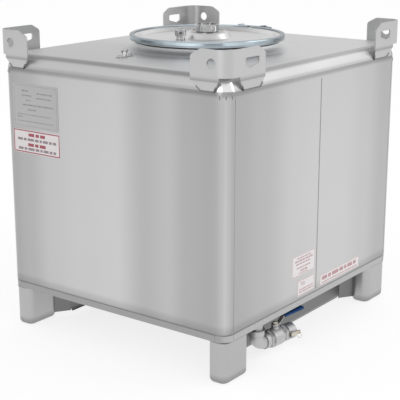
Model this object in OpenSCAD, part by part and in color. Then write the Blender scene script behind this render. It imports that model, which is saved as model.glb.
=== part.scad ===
/* [Tank] */
// Width across the side that carries the valve
tank_w = 1219; // [1150:1:1300]
// Depth from the valve side to the rear
tank_d = 1067; // [1000:1:1150]
// Outer radius of the upright corners
corner_r = 50; // [44:1:56]
// Thickness of the wall and head sheet
sheet_t = 3; // [2:0.5:4]
// Height of the underside of the base ring above the floor
base_z = 160; // [150:1:180]
// Height of the crease between base ring and wall
band_z = 188; // [184:1:192]
// Height of the crease between wall and top head
wall_top_z = 1057; // [900:1:1057]
// Inward lean of the shoulder between wall and deck
shoulder_in = 22.5; // [18:0.5:26]

/* [Legs] */
// Width of a leg along the valve side
leg_w = 155; // [130:1:165]
// Depth of a leg
leg_d = 82; // [72:1:90]
// Radius of a leg's upright corners
leg_r = 30; // [24:1:34]
// Radius of a leg's bottom edge
leg_edge_r = 16; // [10:1:20]

/* [Lifting lugs] */
// Thickness of the lug plate
lug_t = 6; // [5:0.5:7]
// Stand-off of the lug's outer face from the wall plane
lug_out = 10; // [8:0.5:14]
// Length of the wing along the valve side
lug_long = 212; // [200:1:230]
// Length of the wing along the short side
lug_short = 148; // [140:1:170]
// Diameter of the round lifting eye
eye_d = 36; // [30:1:40]

/* [Manway] */
// Clear diameter of the manway opening
manway_d = 564; // [540:1:570]
// Outer diameter of the clamp ring
ring_d = 620; // [618:1:624]

/* [Outlet] */
// Bore of the outlet, the valve and the coupling
outlet_bore = 38; // [36:0.5:39]
// Outside diameter of the outlet pipe
outlet_pipe_d = 48.3; // [46:0.1:49]
// Swing of the outlet away from the valve side, in degrees
outlet_turn = 8; // [6:0.5:10]

/* [Hidden] */

$fn = 96;
eps = 1;                    // overshoot of a cut past the face that it opens
run_gap = 0.06;             // radial clearance of a shaft in its hole
body_gap = 0.3;             // clearance between curved faces of different bodies
side_in = 0.02;             // set-back of an outline's straight sides from its arcs
steel = "#c4c7c9";
bright = "#d6d8da";
zinc = "#aebac4";

half_w = tank_w / 2;
half_d = tank_d / 2;
shoulder_h = 54;
deck_z = wall_top_z + shoulder_h;
shoulder_slope = shoulder_in / shoulder_h;

// Base ring, pan and legs
ring_in = 1;                // base ring's set-back from the wall face
ring_web_t = 4;
flange_w = 28;
flange_t = 3;
pan_front_z = base_z + flange_t + 1;
pan_fall_x = 0.5;           // degrees, falling towards the outlet
pan_fall_y = 0.55;
leg_in = 8;
leg_t = 3;
leg_x = half_w - leg_in - leg_w / 2;
leg_y = half_d - leg_in - leg_d / 2;

// Fork guards
guard_t = 4;
guard_y = half_d - 120;
guard_run = 401;            // half length of the straight run
guard_low_z = 15;
guard_lip_z = 32;
guard_lip_back = 10;
flare_x = 61;
flare_y = 40;
bearer_x = 235;
bearer_w = 90;

// Lifting lugs, in a frame with the tank's corner at its origin
lug_bend_r = 50;
lug_crease_z = deck_z - 17;
lug_top_z = deck_z + 89;
eye_from_corner = 60;
eye_z = deck_z + 41;

// Manway, lid and clamp ring
manway_r = manway_d / 2;
neck_t = 4;
neck_top_z = deck_z + 41;
neck_fillet = 24;
skirt_z = deck_z + neck_fillet;         // lower edge of the gasket
rim_z = deck_z + 46;        // underside of the lid's rim
lid_t = 3;
lid_drop = 13;
boss_r = 86;
boss_z = rim_z + lid_t + 10;            // top of the lid's raised centre
bung_bore_r = 30;
ring_r = ring_d / 2;
clamp_z = deck_z + 44;      // middle of the clamp ring's section
bolt_z = clamp_z + 6;       // axis of its closing bolt
bolt_r = 4;
bolt_x = ring_r + 16;

// Fill fitting
bung_top_z = boss_z + 12;
cap_r = 48.5;
cap_low_z = boss_z + 4;
cap_top_z = cap_low_z + 26;
ear_turn = -55;

// Vent
vent_x = -125;
vent_y = 37;
vent_z = rim_z + lid_t - lid_drop;
vent_seat_z = vent_z + 19;
vent_roof_z = vent_seat_z + 14;
spring_turns = 4;

// Grounding point on the deck
ground_x = -430;
ground_y = 65;

// Outlet, in a frame with the elbow's centre at its origin and +X along the valve
outlet_x = -half_w + 274;
outlet_y = -half_d + 54;
outlet_z = 63;
bore_r = outlet_bore / 2;
elbow_r = 38;
elbow_len = 60;
band_r = 31;
band_len = 22;
valve_x = 107;
valve_half = 47;
ball_r = 29;
cavity_r = ball_r + 0.6;
stem_r = 6;
stem_low = ball_r + body_gap;
stem_top = 62;
bonnet_z = 42;
lever_z = 50;
lever_t = 3.5;
sleeve_x = 46;
sleeve_len = 113;
sleeve_z = 72;
adapter_x = valve_x + valve_half;
adapter_r = 26.7;
adapter_end = adapter_x + 39.5;
cap_x = adapter_x + 8;
dust_cap_len = 40;
dust_cap_r = 32;
cam_x = adapter_x + 15;
cam_y = 35;
arm_h = 14;
arm_len = 45;
pin_r = 3;
ring_hole_x = cam_x + 40;
ring_mean_r = 11.5;
ring_wire_r = 1.4;

// ---- Outlines -------------------------------------------------------------

module rounded_rect(w, d, r) {
    square([w - 2 * r, d], center = true);
    square([w, d - 2 * r], center = true);
    for (x = [-1, 1], y = [-1, 1])
        translate([x * (w / 2 - r), y * (d / 2 - r)]) circle(r);
}

// A convex outline around a list of corner centres, with corners of radius r.
// Its straight sides lie side_in inside the tangents and cross the arcs.
module rounded_outline(pts, r) {
    half = r - side_in;
    polygon(pts);
    for (i = [0 : len(pts) - 1]) {
        p = pts[i];
        q = pts[(i + 1) % len(pts)];
        translate(p) circle(r);
        translate(p) rotate(atan2(q[1] - p[1], q[0] - p[0]))
            translate([0, -half]) square([norm(q - p), 2 * half]);
    }
}

// Side view of a block with two rounded bottom edges
module foot_outline(w, h, e) {
    translate([-w / 2, e]) square([w, h - e]);
    translate([-w / 2 + e, 0]) square([w - 2 * e, h]);
    for (x = [-1, 1]) translate([x * (w / 2 - e), e]) circle(e);
}

// ---- Solids shared by several parts ---------------------------------------

module rounded_prism(w, d, r, z0, z1) {
    translate([0, 0, z0]) linear_extrude(z1 - z0) rounded_rect(w, d, r);
}

// A rounded rectangle that leans inward by inset from z0 up to z1
module rounded_frustum(w, d, r, inset, z0, z1) {
    h = z1 - z0;
    translate([-w / 2 + r, 0, z0]) rotate([90, 0, 90]) linear_extrude(w - 2 * r)
        polygon([[-d / 2, 0], [d / 2, 0], [d / 2 - inset, h], [-d / 2 + inset, h]]);
    translate([0, d / 2 - r, z0]) rotate([90, 0, 0]) linear_extrude(d - 2 * r)
        polygon([[-w / 2, 0], [w / 2, 0], [w / 2 - inset, h], [-w / 2 + inset, h]]);
    for (x = [-1, 1], y = [-1, 1])
        translate([x * (w / 2 - r), y * (d / 2 - r), z0])
            cylinder(h = h, r1 = r, r2 = r - inset);
}

// A block with upright corners of radius r and a bottom edge of radius e
module soft_block(w, d, h, r, e) {
    translate([-w / 2 + r, 0, 0]) rotate([90, 0, 90]) linear_extrude(w - 2 * r)
        foot_outline(d, h, e);
    translate([0, d / 2 - r, 0]) rotate([90, 0, 0]) linear_extrude(d - 2 * r)
        foot_outline(w, h, e);
    for (x = [-1, 1], y = [-1, 1])
        translate([x * (w / 2 - r), y * (d / 2 - r), 0]) rotate_extrude()
            intersection() {
                foot_outline(2 * r, h, e);
                square([r, h]);
            }
}

module ring(r_out, r_in, z0, z1) {
    translate([0, 0, z0]) difference() {
        cylinder(h = z1 - z0, r = r_out);
        translate([0, 0, -eps]) cylinder(h = z1 - z0 + 2 * eps, r = r_in);
    }
}

// A round bar along X from x0 to x1
module bar_x(r, x0, x1) {
    translate([x0, 0, 0]) rotate([0, 90, 0]) cylinder(h = x1 - x0, r = r);
}

// A hexagon bar along X with the distance across flats af
module hex_x(af, x0, x1) {
    translate([x0, 0, 0]) rotate([0, 90, 0]) cylinder(h = x1 - x0, d = af / cos(30), $fn = 6);
}

module hex_z(af, z0, z1) {
    translate([0, 0, z0]) cylinder(h = z1 - z0, d = af / cos(30), $fn = 6);
}

// Places a part drawn at the front left corner at any of the four corners
module at_corner(x, y) {
    if (x < 0 && y < 0) children();
    if (x > 0 && y < 0) mirror([1, 0, 0]) children();
    if (x < 0 && y > 0) mirror([0, 1, 0]) children();
    if (x > 0 && y > 0) rotate(180) children();
}

// Everything above the underside of the sloping pan
module above_pan() {
    translate([-half_w, -half_d, pan_front_z]) rotate([pan_fall_y, -pan_fall_x, 0])
        translate([-200, -200, 0]) cube([tank_w + 400, tank_d + 400, 300]);
}

module outlet_frame() {
    translate([outlet_x, outlet_y, outlet_z]) rotate(-outlet_turn) children();
}

module valve_frame() {
    outlet_frame() translate([valve_x, 0, 0]) children();
}

// ---- Tank -----------------------------------------------------------------

module wall_half(side) {
    color(steel) intersection() {
        difference() {
            rounded_prism(tank_w, tank_d, corner_r, band_z, wall_top_z);
            rounded_prism(tank_w - 2 * sheet_t, tank_d - 2 * sheet_t, corner_r - sheet_t,
                band_z - eps, wall_top_z + eps);
        }
        translate([side < 0 ? -tank_w : 0, -tank_d, 0]) cube([tank_w, 2 * tank_d, wall_top_z + eps]);
    }
}

module wall_left() { wall_half(-1); }
module wall_right() { wall_half(1); }

module shoulder_solid() {
    rounded_frustum(tank_w, tank_d, corner_r, shoulder_in, wall_top_z, deck_z);
}

module top_head() {
    inner_h = shoulder_h - sheet_t;
    color(steel) difference() {
        shoulder_solid();
        rounded_frustum(tank_w - 2 * sheet_t, tank_d - 2 * sheet_t, corner_r - sheet_t,
            shoulder_slope * inner_h, wall_top_z, wall_top_z + inner_h);
        translate([0, 0, wall_top_z - eps]) cylinder(h = shoulder_h + 2 * eps, r = manway_r);
        translate([0, 0, wall_top_z - eps])
            linear_extrude(eps) rounded_rect(tank_w, tank_d, corner_r);
    }
}

module manway_neck() {
    out = manway_r + neck_t;
    color(bright) rotate_extrude() {
        translate([manway_r, deck_z]) square([neck_t, neck_top_z - deck_z]);
        difference() {
            translate([manway_r, deck_z]) square([neck_t + neck_fillet, neck_fillet]);
            translate([out + neck_fillet, deck_z + neck_fillet]) circle(neck_fillet);
        }
    }
}

module base_ring() {
    w = tank_w - 2 * ring_in;
    d = tank_d - 2 * ring_in;
    r = corner_r - ring_in;
    color(steel) {
        difference() {
            rounded_prism(w, d, r, base_z, band_z);
            rounded_prism(w - 2 * ring_web_t, d - 2 * ring_web_t, r - ring_web_t,
                base_z + flange_t, band_z + eps);
            rounded_prism(w - 2 * flange_w, d - 2 * flange_w, r - flange_w, base_z - eps, band_z);
        }
    }
}

module bottom_pan() {
    in = ring_in + ring_web_t;
    color(steel) difference() {
        intersection() {
            rounded_prism(tank_w - 2 * in, tank_d - 2 * in, corner_r - in, base_z, band_z);
            above_pan();
        }
        translate([0, 0, sheet_t]) above_pan();
        translate([outlet_x, outlet_y, base_z]) cylinder(h = 40, r = bore_r);
    }
}

// Two hat channels that rest on the forks
module fork_bearers() {
    length = 2 * guard_y - 2 * guard_t;
    color(steel) for (x = [-1, 1]) difference() {
        translate([x * bearer_x - bearer_w / 2, -length / 2, base_z])
            cube([bearer_w, length, 40]);
        translate([x * bearer_x - bearer_w / 2 + sheet_t, -length / 2 - eps, base_z + sheet_t])
            cube([bearer_w - 2 * sheet_t, length + 2 * eps, 40]);
        above_pan();
    }
}

module leg_solid() {
    translate([-leg_x, -leg_y, 0]) soft_block(leg_w, leg_d, base_z + 40, leg_r, leg_edge_r);
}

module leg(x, y) {
    in = ring_in + flange_w;
    color(steel) difference() {
        at_corner(x, y) difference() {
            leg_solid();
            translate([-leg_x, -leg_y, leg_t])
                soft_block(leg_w - 2 * leg_t, leg_d - 2 * leg_t, base_z + 60,
                    leg_r - leg_t, leg_edge_r - leg_t);
        }
        difference() {
            translate([-tank_w, -tank_d, base_z]) cube([2 * tank_w, 2 * tank_d, 100]);
            rounded_prism(tank_w - 2 * in, tank_d - 2 * in, corner_r - in,
                base_z - eps, base_z + 110);
        }
        above_pan();
    }
}

module leg_front_left() { leg(-1, -1); }
module leg_front_right() { leg(1, -1); }
module leg_rear_left() { leg(-1, 1); }
module leg_rear_right() { leg(1, 1); }

// ---- Lifting lugs ---------------------------------------------------------

// Plan of the inside of a bend, off its corner by off and with radius r
module bend_area(off, r) {
    reach = 400;
    translate([r - off, -off]) square(reach);
    translate([-off, r - off]) square(reach);
    translate([r - off, r - off]) circle(r);
}

// Outline of one wing, with the corner at u = 0 and height along v
module wing_outline(length, scallop) {
    r = 18;
    cut = 28;
    difference() {
        rounded_outline([[-60, lug_crease_z - 40], [length - r, lug_crease_z - 40],
            [length - r, lug_top_z - cut - 5], [length - r - cut, lug_top_z - r],
            [-60, lug_top_z - r]], r);
        translate([-100, lug_crease_z - 100]) square([500, 100]);
        translate([-100, lug_crease_z - eps]) square([100 + scallop, 12 + eps]);
    }
}

module foot_trapezium(u0, u1, u2, u3) {
    polygon([[u0, lug_crease_z], [u1, lug_crease_z], [u2, wall_top_z - 1], [u3, wall_top_z - 1]]);
}

// Section through the leaning foot, from the crease down to the wall
module foot_section() {
    polygon([[-lug_out, lug_crease_z], [lug_t - lug_out, lug_crease_z],
        [lug_t, wall_top_z - 1], [0, wall_top_z - 1]]);
}

module slot_outline() {
    r = 7;
    rounded_outline([[98, eye_z - 9], [117, eye_z - 15], [166, eye_z - 3],
        [166, eye_z + 8], [98, eye_z + 8]], r);
}

module lug(x, y) {
    wide = 40;
    color(steel) at_corner(x, y) difference() {
        translate([-half_w, -half_d, 0]) {
            intersection() {
                translate([0, 0, lug_crease_z]) linear_extrude(lug_top_z - lug_crease_z)
                    difference() {
                        bend_area(lug_out, lug_bend_r);
                        bend_area(lug_out - lug_t, lug_bend_r - lug_t);
                    }
                union() {
                    translate([0, wide - 8, 0]) rotate([90, 0, 0]) linear_extrude(wide + 12)
                        wing_outline(lug_long, 61);
                    translate([-20, 0, 0]) rotate([90, 0, 90]) linear_extrude(wide + 12)
                        wing_outline(lug_short, 32);
                }
            }
            intersection() {
                rotate([90, 0, 90]) linear_extrude(lug_long) foot_section();
                translate([0, 20, 0]) rotate([90, 0, 0]) linear_extrude(60)
                    foot_trapezium(61, lug_long, 197, 97);
            }
            intersection() {
                translate([0, lug_short, 0]) rotate([90, 0, 0]) linear_extrude(lug_short)
                    foot_section();
                translate([-20, 0, 0]) rotate([90, 0, 90]) linear_extrude(60)
                    foot_trapezium(32, lug_short, 112, 57);
            }
        }
        shoulder_solid();
        rounded_prism(tank_w, tank_d, corner_r, wall_top_z - 20, wall_top_z);
        translate([-half_w - 40, -half_d + eye_from_corner, eye_z])
            rotate([0, 90, 0]) cylinder(h = 60, d = eye_d);
        translate([-half_w, -half_d + 20, 0]) rotate([90, 0, 0]) linear_extrude(60) slot_outline();
    }
}

module lug_front_left() { lug(-1, -1); }
module lug_front_right() { lug(1, -1); }
module lug_rear_left() { lug(-1, 1); }
module lug_rear_right() { lug(1, 1); }

// ---- Fork guards ----------------------------------------------------------

module guard_panel(p, q) {
    translate([p[0], p[1], guard_low_z]) rotate(atan2(q[1] - p[1], q[0] - p[0]))
        translate([0, -guard_t / 2, 0]) cube([norm(q - p), guard_t, 200]);
}

module guard_plates() {
    translate([-guard_run, -guard_y - guard_t / 2, guard_lip_z])
        cube([2 * guard_run, guard_t, 180]);
    translate([-guard_run, -guard_y, 0]) rotate([90, 0, 90]) linear_extrude(2 * guard_run)
        polygon([[-guard_t / 2, guard_lip_z], [guard_t / 2, guard_lip_z],
            [guard_t / 2 + guard_lip_back, guard_low_z],
            [guard_lip_back - guard_t / 2, guard_low_z]]);
    for (x = [-1, 1]) {
        guard_panel([x * guard_run, -guard_y], [x * (guard_run + flare_x), -guard_y - flare_y]);
        translate([x * guard_run, -guard_y, guard_low_z]) cylinder(h = 200, d = guard_t);
    }
}

module fork_guard(y) {
    color(steel) difference() {
        if (y < 0) guard_plates(); else mirror([0, 1, 0]) guard_plates();
        above_pan();
        for (x = [-1, 1]) at_corner(x, y) leg_solid();
    }
}

module fork_guard_front() { fork_guard(-1); }
module fork_guard_rear() { fork_guard(1); }

// ---- Grounding point ------------------------------------------------------

module ground_lug() {
    color(bright) translate([ground_x, ground_y, deck_z]) difference() {
        union() {
            linear_extrude(3) rounded_rect(80, 22, 6);
            translate([-30, 0, 3]) cylinder(h = 7, d = 14);
            translate([30, 0, 3]) cylinder(h = 7, d = 14);
        }
        translate([0, 0, -eps]) cylinder(h = 3 + 2 * eps, r = 5);
    }
}

module ground_stud() {
    color(bright) translate([ground_x, ground_y, deck_z]) {
        cylinder(h = 27, r = 5);
        hex_z(16, 3, 9);
    }
}

module wing_nut() {
    color(bright) translate([ground_x, ground_y, deck_z + 9.2]) difference() {
        union() {
            cylinder(h = 10, r1 = 9, r2 = 7);
            for (side = [0, 180]) rotate(side) rotate([90, 0, 0]) translate([0, 0, -1.5])
                linear_extrude(3) rounded_outline([[8, 4], [17, 12], [17, 15], [12, 12]], 2);
        }
        translate([0, 0, -eps]) cylinder(h = 30, r = 5 + run_gap);
    }
}

// ---- Lid ------------------------------------------------------------------

module lid() {
    top = rim_z + lid_t;
    low = top - lid_drop;
    step = 262;
    color(bright) difference() {
        rotate_extrude() polygon([[0, boss_z], [boss_r, boss_z], [boss_r + 12, low], [step, low],
            [step + 10, top], [ring_r - 7, top], [ring_r - 7, rim_z], [step + 11.5, rim_z],
            [step + 1.5, low - lid_t], [boss_r + 10, low - lid_t],
            [boss_r - 2, boss_z - lid_t], [0, boss_z - lid_t]]);
        translate([0, 0, low - 10]) cylinder(h = 60, r = bung_bore_r);
        translate([vent_x, vent_y, low - 10]) cylinder(h = 60, r = 13);
    }
}

module lid_gasket() {
    groove_in = manway_r - body_gap;
    groove_out = manway_r + neck_t + body_gap;
    color("#1c1c1d") rotate_extrude() {
        translate([groove_in - 4, neck_top_z - 12])
            square([4, rim_z - neck_top_z + 12]);
        translate([groove_in - 4, neck_top_z + body_gap])
            square([ring_r - 7 - groove_in + 4, rim_z - neck_top_z - body_gap]);
        translate([groove_out, skirt_z]) square([5, rim_z - skirt_z]);
    }
}

module clamp_ring() {
    r = ring_r;
    z = clamp_z;
    color(zinc) difference() {
        rotate_extrude() polygon([
            [r - 17, z + 8.5], [r - 7, z + 11], [r - 2, z + 9], [r, z + 5],
            [r, z - 5], [r - 2, z - 11], [r - 7, z - 13.5], [r - 17, z - 12],
            [r - 17, z - 9.5], [r - 8, z - 10.7], [r - 4.4, z - 9], [r - 2.5, z - 4.5],
            [r - 2.5, z + 4.5], [r - 4, z + 7], [r - 7.5, z + 8.3], [r - 17, z + 6]]);
        translate([r - 40, -7, z - 30]) cube([80, 14, 60]);
    }
}

// Two lugs on the ends of the clamp ring that the closing bolt draws together
module ring_lugs() {
    color(zinc) for (y = [-1, 1]) difference() {
        translate([ring_r - 12, y * 55 - 7, bolt_z - 14]) cube([37, 14, 22]);
        translate([0, 0, clamp_z - 20]) cylinder(h = 40, r = ring_r);
        translate([bolt_x, y * 55 + 20, bolt_z]) rotate([90, 0, 0])
            cylinder(h = 40, r = bolt_r + run_gap);
    }
}

module ring_bolt() {
    color(zinc) translate([bolt_x, 0, bolt_z]) rotate([90, 0, 0]) {
        translate([0, 0, -63]) cylinder(h = 155, r = bolt_r);
        hex_z(13, -70, -62.5);
    }
}

module ring_nuts() {
    color(zinc) for (y = [-62, -40]) translate([bolt_x, y, bolt_z]) rotate([90, 0, 0])
        difference() {
            hex_z(13, 0, 8);
            translate([0, 0, -eps]) cylinder(h = 10, r = bolt_r + run_gap);
        }
}

// ---- Fill fitting ---------------------------------------------------------

module fill_bung() {
    color(bright) {
        ring(42, bung_bore_r, boss_z, boss_z + 3);
        ring(34, bung_bore_r, boss_z + 3, bung_top_z);
    }
}

module fill_seal() {
    color("#2a2a2b") ring(34, bung_bore_r, bung_top_z, bung_top_z + 2);
}

module fill_liner() {
    z = bung_top_z + 2;
    color(bright) {
        translate([0, 0, z]) cylinder(h = 4, r = 34);
        translate([0, 0, z - 8]) cylinder(h = 8, r = bung_bore_r - body_gap);
        translate([0, 0, z + 4]) cylinder(h = 3, r = 20);
        hex_z(22, z + 7, z + 12);
    }
}

module fill_cap() {
    lip_z = bung_top_z + 6 + body_gap;
    slots = 12;
    color(bright) difference() {
        union() {
            translate([0, 0, cap_low_z]) cylinder(h = cap_top_z - cap_low_z, r = cap_r);
            rotate(ear_turn) translate([-66, -7, cap_low_z]) cube([132, 14, 5]);
        }
        translate([0, 0, cap_low_z - eps]) cylinder(h = lip_z - cap_low_z + eps, r = 34 + body_gap);
        translate([0, 0, cap_low_z]) cylinder(h = 50, r = 28);
        translate([0, 0, lip_z + 3]) cylinder(h = 50, r = 39);
        for (i = [0 : slots - 1]) rotate(i * 360 / slots)
            translate([36, -4.5, lip_z + 3]) cube([8.5, 9, 30]);
    }
}

// ---- Vent -----------------------------------------------------------------

module vent_frame() { translate([vent_x, vent_y, 0]) children(); }

module vent_nipple() {
    color(bright) vent_frame() ring(16.7, 13, vent_z, vent_z + 15);
}

module vent_body() {
    color(bright) vent_frame() difference() {
        union() {
            ring(22, 13, vent_z + 15, vent_seat_z);
            ring(22, 18.5, vent_seat_z, vent_roof_z);
            ring(22, stem_hole(), vent_roof_z, vent_roof_z + 4);
        }
        for (a = [0, 90]) rotate(a + 45) translate([-30, -8, vent_seat_z + 2])
            cube([60, 16, vent_roof_z - vent_seat_z - 4]);
    }
}

function stem_hole() = 3 + run_gap;

module vent_pallet() {
    color("#b9babb") vent_frame() {
        translate([0, 0, vent_seat_z + 0.2]) cylinder(h = 3, r = 17.5);
        translate([0, 0, vent_seat_z + 3.2]) cylinder(h = 22, r = 3);
        translate([0, 0, vent_roof_z + 7.5]) cylinder(h = 6, r = 9);
    }
}

// Rings of a swept coil: n points round the wire at each step along the helix
function coil_ring(a, z, coil_r, wire_r, n) = [for (k = [0 : n - 1])
    let (b = k * 360 / n, r = coil_r + wire_r * cos(b))
    [r * cos(a), r * sin(a), z + wire_r * sin(b)]];

module vent_spring() {
    sides = 8;
    steps = 16 * spring_turns;
    wire_r = 0.8;
    low = vent_seat_z + 3.2 + wire_r + 0.1;
    rise = vent_roof_z - wire_r - 0.1 - low;
    rings = [for (i = [0 : steps])
        coil_ring(i * 360 * spring_turns / steps, low + rise * i / steps, 6, wire_r, sides)];
    points = [for (r = rings) for (p = r) p];
    tube = [for (i = [0 : steps - 1]) for (k = [0 : sides - 1])
        [i * sides + k, i * sides + (k + 1) % sides,
         (i + 1) * sides + (k + 1) % sides, (i + 1) * sides + k]];
    ends = [[for (k = [sides - 1 : -1 : 0]) k], [for (k = [0 : sides - 1]) steps * sides + k]];
    color("#8d9092") vent_frame() polyhedron(points, concat(tube, ends));
}

// ---- Outlet and valve -----------------------------------------------------

module outlet_pipe() {
    color(steel) difference() {
        translate([outlet_x, outlet_y, outlet_z + elbow_len]) difference() {
            cylinder(h = 100, d = outlet_pipe_d);
            translate([0, 0, -eps]) cylinder(h = 102, r = bore_r);
        }
        above_pan();
    }
}

module quarter_bend(r) {
    translate([elbow_r, 0, elbow_r]) rotate([90, 0, 0]) rotate(180)
        rotate_extrude(angle = 90) translate([elbow_r, 0]) circle(r);
}

module outlet_elbow() {
    band = elbow_len - band_len;
    color(steel) outlet_frame() difference() {
        union() {
            quarter_bend(27);
            bar_x(band_r, band, elbow_len);
            translate([0, 0, band]) cylinder(h = band_len, r = band_r);
        }
        quarter_bend(bore_r);
        bar_x(bore_r, band, elbow_len + eps);
        translate([0, 0, band]) cylinder(h = band_len + eps, r = bore_r);
    }
}

module valve_body() {
    color(steel) valve_frame() difference() {
        union() {
            hex_x(60, -valve_half, -31);
            bar_x(36, -31, 16);
            cylinder(h = bonnet_z, r = 15);
        }
        bar_x(bore_r, -valve_half - eps, 0);
        bar_x(cavity_r, -25, 16 + eps);
        cylinder(h = bonnet_z + eps, r = stem_r + run_gap);
    }
}

module valve_end() {
    color(steel) valve_frame() difference() {
        union() {
            hex_x(64, 16, 26);
            bar_x(29, 26, 33);
            hex_x(60, 33, valve_half);
        }
        bar_x(bore_r, 16, valve_half + eps);
        bar_x(cavity_r, 16 - eps, 25);
    }
}

module valve_seats() {
    inner = bore_r + 1;
    color("#ececea") valve_frame() for (turn = [90, -90]) rotate([0, turn, 0]) rotate_extrude()
        difference() {
            translate([inner, 20]) square([cavity_r - run_gap - inner, 5]);
            circle(ball_r + body_gap);
        }
}

module valve_ball() {
    color(bright) valve_frame() difference() {
        sphere(ball_r);
        bar_x(bore_r, -40, 40);
        translate([-40, -3.5, 21]) cube([80, 7, 20]);
    }
}

module valve_stem() {
    color(bright) valve_frame() {
        translate([-5, -3.5, 21]) cube([10, 7, stem_low - 21]);
        translate([0, 0, stem_low]) cylinder(h = stem_top - stem_low, r = stem_r);
    }
}

module gland_nut() {
    color(bright) valve_frame() difference() {
        hex_z(22, bonnet_z, lever_z - 1);
        translate([0, 0, bonnet_z - eps]) cylinder(h = 20, r = stem_r + run_gap);
    }
}

// Side view of the lever strap: hub, ramp and grip
module lever_profile() {
    tip = sleeve_x + sleeve_len - 3;
    polygon([[-15, lever_z], [22, lever_z], [sleeve_x, sleeve_z], [tip, sleeve_z + 4],
        [tip, sleeve_z + 4 + lever_t], [sleeve_x - 1, sleeve_z + lever_t],
        [21, lever_z + lever_t], [-15, lever_z + lever_t]]);
}

module lever_strap() {
    translate([0, 9, 0]) rotate([90, 0, 0]) linear_extrude(18) lever_profile();
}

module valve_lever() {
    color("#b4b6b7") valve_frame() difference() {
        union() {
            lever_strap();
            translate([0, 0, lever_z]) cylinder(h = lever_t, r = 15);
        }
        translate([0, 0, lever_z - eps]) cylinder(h = 10, r = stem_r);
    }
}

module lever_sleeve() {
    rise = atan2(4, sleeve_len - 3);
    color("#1f4f9e") valve_frame() difference() {
        translate([sleeve_x, 0, sleeve_z + lever_t / 2]) rotate([0, -rise, 0])
            rotate([90, 0, 90]) linear_extrude(sleeve_len) rounded_rect(28, 12, 5);
        lever_strap();
    }
}

module lever_nut() {
    color("#c9b98a") valve_frame() difference() {
        hex_z(18, lever_z + lever_t, lever_z + lever_t + 7);
        translate([0, 0, lever_z]) cylinder(h = 20, r = stem_r);
    }
}

// ---- Hose coupling and dust cap -------------------------------------------

module coupling_adapter() {
    color(steel) outlet_frame() difference() {
        union() {
            hex_x(56, adapter_x, adapter_x + 7);
            bar_x(adapter_r, adapter_x + 7, adapter_end);
        }
        translate([cam_x + 6, 0, 0]) rotate([0, 90, 0]) rotate_extrude()
            translate([adapter_r + 2, 0]) circle(5.5);
        bar_x(bore_r, adapter_x - eps, adapter_end + eps);
    }
}

module dust_cap() {
    slot = arm_h + 2 * body_gap;
    ear_t = 4.5;
    color(steel) outlet_frame() difference() {
        union() {
            bar_x(dust_cap_r, cap_x, cap_x + dust_cap_len);
            translate([cap_x, -cam_y - 6, -slot / 2 - ear_t])
                cube([14, 2 * cam_y + 12, slot + 2 * ear_t]);
        }
        bar_x(adapter_r + body_gap, cap_x - eps, cap_x + dust_cap_len - 6);
        for (y = [-1, 1]) {
            translate([cap_x - eps, y > 0 ? 20 : -60, -slot / 2]) cube([16 + eps, 40, slot]);
            translate([cam_x, y * cam_y, -20]) cylinder(h = 40, r = pin_r);
        }
    }
}

module cap_gasket() {
    color("#242425") outlet_frame() difference() {
        bar_x(adapter_r, adapter_end + 0.1, cap_x + dust_cap_len - 6);
        bar_x(bore_r, adapter_end - eps, cap_x + dust_cap_len);
    }
}

module cam_pins() {
    color("#c7bfa2") outlet_frame() for (y = [-1, 1])
        translate([cam_x, y * cam_y, -14]) cylinder(h = 28, r = pin_r);
}

// Plan of a cam arm: hub, nose towards the coupling and finger outward
module arm_plan(side) {
    circle(5.6);
    translate([0, -side * 3.8]) circle(4.1);
    translate([0, side > 0 ? -2 : -3]) square([arm_len - 8, 5]);
    translate([arm_len - 8, side * 0.5]) rotate(side * 8) translate([0, -2.5]) square([8, 5]);
    translate([arm_len - 8, side * 0.5]) circle(2.5);
}

module cam_arm(side) {
    color("#c9c5b6") outlet_frame() difference() {
        translate([cam_x, side * cam_y, -arm_h / 2]) linear_extrude(arm_h) arm_plan(side);
        translate([cam_x, side * cam_y, -arm_h]) cylinder(h = 2 * arm_h, r = pin_r + run_gap);
        translate([ring_hole_x, side * cam_y, -1]) rotate([90, 0, 0])
            cylinder(h = 20, r = 2.6, center = true);
    }
}

module cam_arm_front() { cam_arm(-1); }
module cam_arm_back() { cam_arm(1); }

module pull_ring(side) {
    color("#cfc6a4") outlet_frame()
        translate([ring_hole_x, side * (cam_y + 1), -1 - ring_mean_r]) rotate([0, 90, 0])
            rotate_extrude() translate([ring_mean_r, 0]) circle(ring_wire_r, $fn = 24);
}

module pull_ring_front() { pull_ring(-1); }
module pull_ring_back() { pull_ring(1); }

// ---- Plates and labels ----------------------------------------------------

// A thin plate on the left wall, placed by its distance from the front and its height
module left_plate(from_front, z, w, h, t, r) {
    translate([-half_w, -half_d + from_front + w / 2, z + h / 2]) rotate([90, 0, -90])
        linear_extrude(t) rounded_rect(w, h, r);
}

module front_plate(from_left, z, w, h, t, r) {
    translate([-half_w + from_left + w / 2, -half_d, z + h / 2]) rotate([90, 0, 0])
        linear_extrude(t) rounded_rect(w, h, r);
}

module data_plate() { color("#a9acae") left_plate(777, 828, 238, 172, 0.8, 6); }
module side_label() { color("#f2eeec") left_plate(773, 728, 248, 92, 0.4, 3); }

module front_labels() {
    color("#f2eeec") {
        front_plate(430, 286, 167, 87, 0.4, 3);
        front_plate(472, 204, 125, 64, 0.4, 3);
        front_plate(639, 200, 314, 47, 0.4, 3);
    }
}

// ---- Output ---------------------------------------------------------------

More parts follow.
